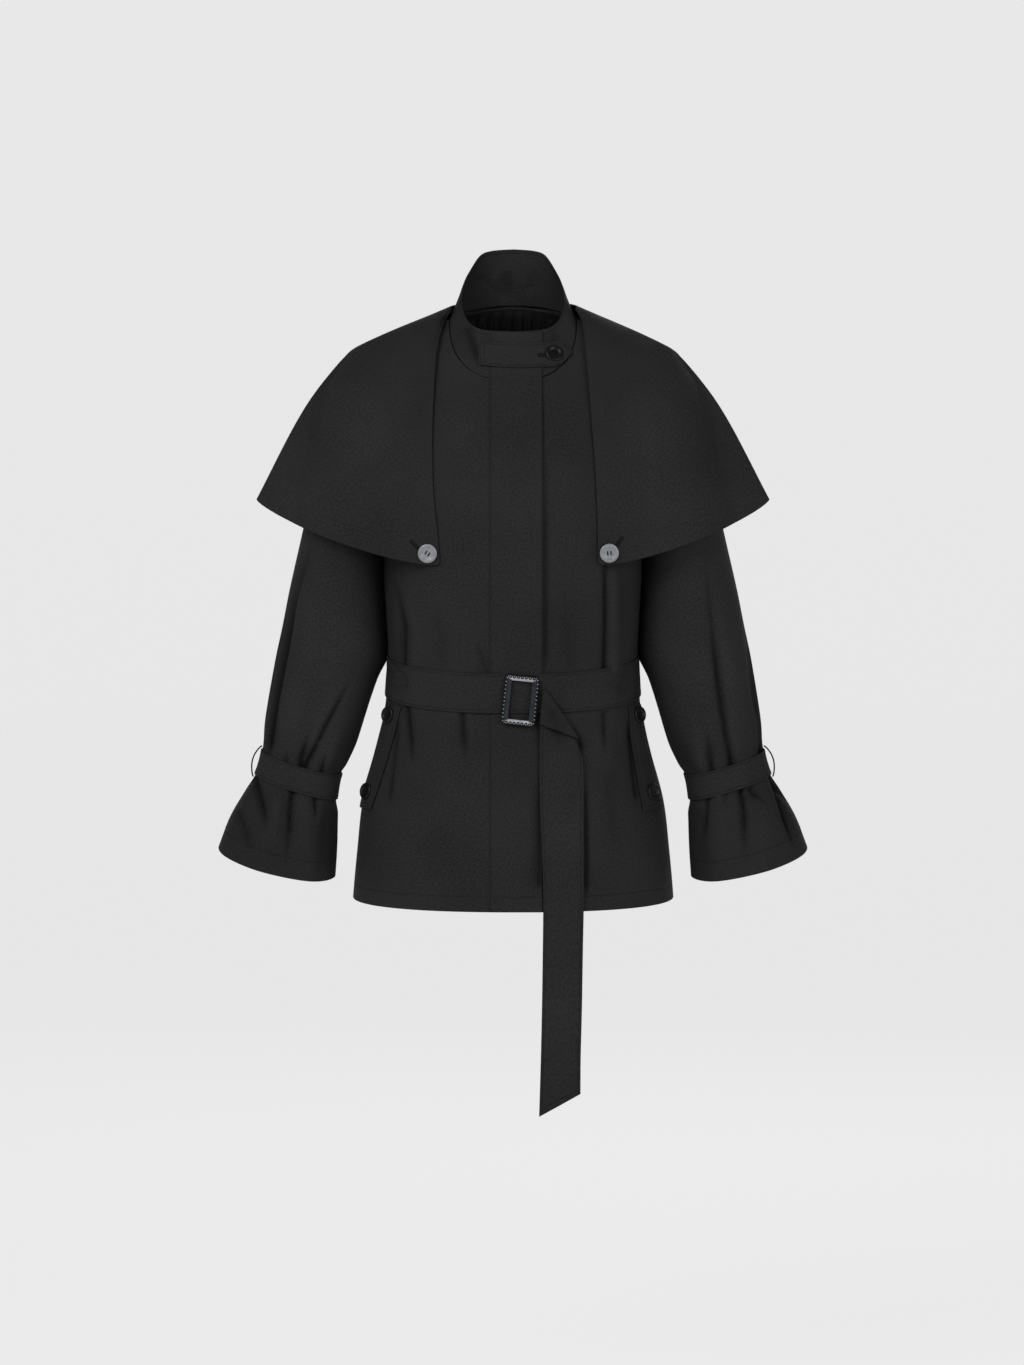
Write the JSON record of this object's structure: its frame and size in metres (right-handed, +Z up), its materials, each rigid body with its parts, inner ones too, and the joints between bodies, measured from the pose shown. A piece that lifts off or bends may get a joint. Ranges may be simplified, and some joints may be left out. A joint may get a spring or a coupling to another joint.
{
  "type": "cape trench coat",
  "caption": "Black belted cape trench coat, filled out as if worn, with a stand collar, a buttoned-down shoulder cape, strapped flared cuffs, slanted welts and a hanging belt end.",
  "frame": {"origin": "middle of the neck at the height of the shoulders, where the wearer carries the coat", "axes": "+Z up, +X towards the wearer's left, -Y out of the front"},
  "size_m": [0.72, 0.2643, 1.0438],
  "materials": {
    "cloth": "fine black twill with a slight sheen",
    "lining": "smooth black lining",
    "black_button": "glossy black",
    "grey_button": "glossy grey",
    "buckle_black": "black, polished inner edge",
    "thread": "twisted black thread"
  },
  "bodies": {
    "root": {"back_panel": "cloth", "front_right": "cloth", "front_left": "cloth", "front_placket": "cloth", "collar": "cloth", "neck_lining": "lining", "throat_tab": "cloth", "throat_button": "black_button", "cape_front_right": "cloth", "cape_front_left": "cloth", "cape_back": "cloth", "cape_button_right": "grey_button", "cape_button_left": "grey_button", "sleeve_right": "cloth", "sleeve_left": "cloth", "wrist_strap_right": "cloth", "wrist_strap_left": "cloth", "strap_carrier_right": "thread", "strap_carrier_left": "thread", "belt": "cloth", "belt_tail": "cloth", "buckle": "buckle_black", "pocket_welt_right": "cloth", "pocket_welt_left": "cloth", "pocket_button_right_upper": "black_button", "pocket_button_right_lower": "black_button", "pocket_button_left_upper": "black_button", "pocket_button_left_lower": "black_button"}
  },
  "joints": []
}
